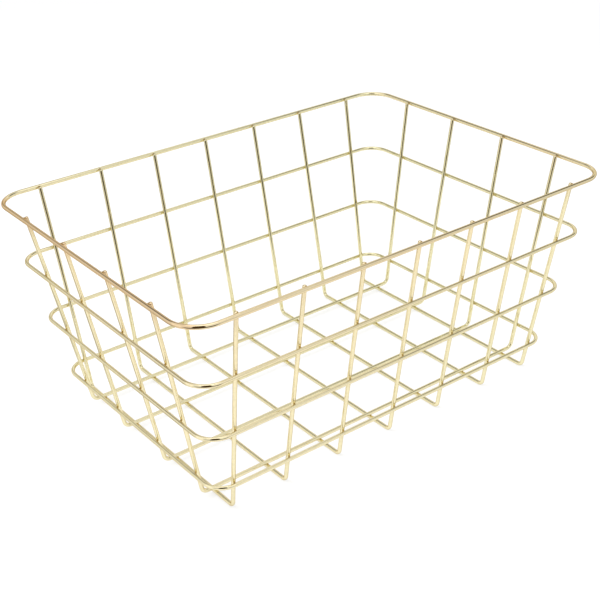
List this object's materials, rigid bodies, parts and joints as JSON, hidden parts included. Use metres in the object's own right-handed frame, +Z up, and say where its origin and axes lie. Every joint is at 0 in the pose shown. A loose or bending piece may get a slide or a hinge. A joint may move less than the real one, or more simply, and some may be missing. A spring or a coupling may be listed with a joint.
{
  "type": "wire storage basket",
  "caption": "Open-topped storage basket of welded round steel wire, with outward leaning walls, round-cornered hoops, a raised grid floor and a polished pale gold finish",
  "frame": {"origin": "on the surface the basket stands on, under the middle of the basket", "axes": "+X along the basket's length, +Y across it, +Z up"},
  "size_m": [0.4, 0.2866, 0.18],
  "materials": {
    "gold_plated_wire": "polished pale gold plating over steel wire"
  },
  "bodies": {
    "root": {"rim": "gold_plated_wire", "upper_hoop": "gold_plated_wire", "middle_hoop": "gold_plated_wire", "lower_hoop": "gold_plated_wire", "cross_wire_1": "gold_plated_wire", "cross_wire_2": "gold_plated_wire", "cross_wire_3": "gold_plated_wire", "cross_wire_4": "gold_plated_wire", "cross_wire_5": "gold_plated_wire", "cross_wire_6": "gold_plated_wire", "cross_wire_7": "gold_plated_wire", "lengthwise_wire_1": "gold_plated_wire", "lengthwise_wire_2": "gold_plated_wire", "lengthwise_wire_3": "gold_plated_wire", "lengthwise_wire_4": "gold_plated_wire"}
  },
  "joints": []
}
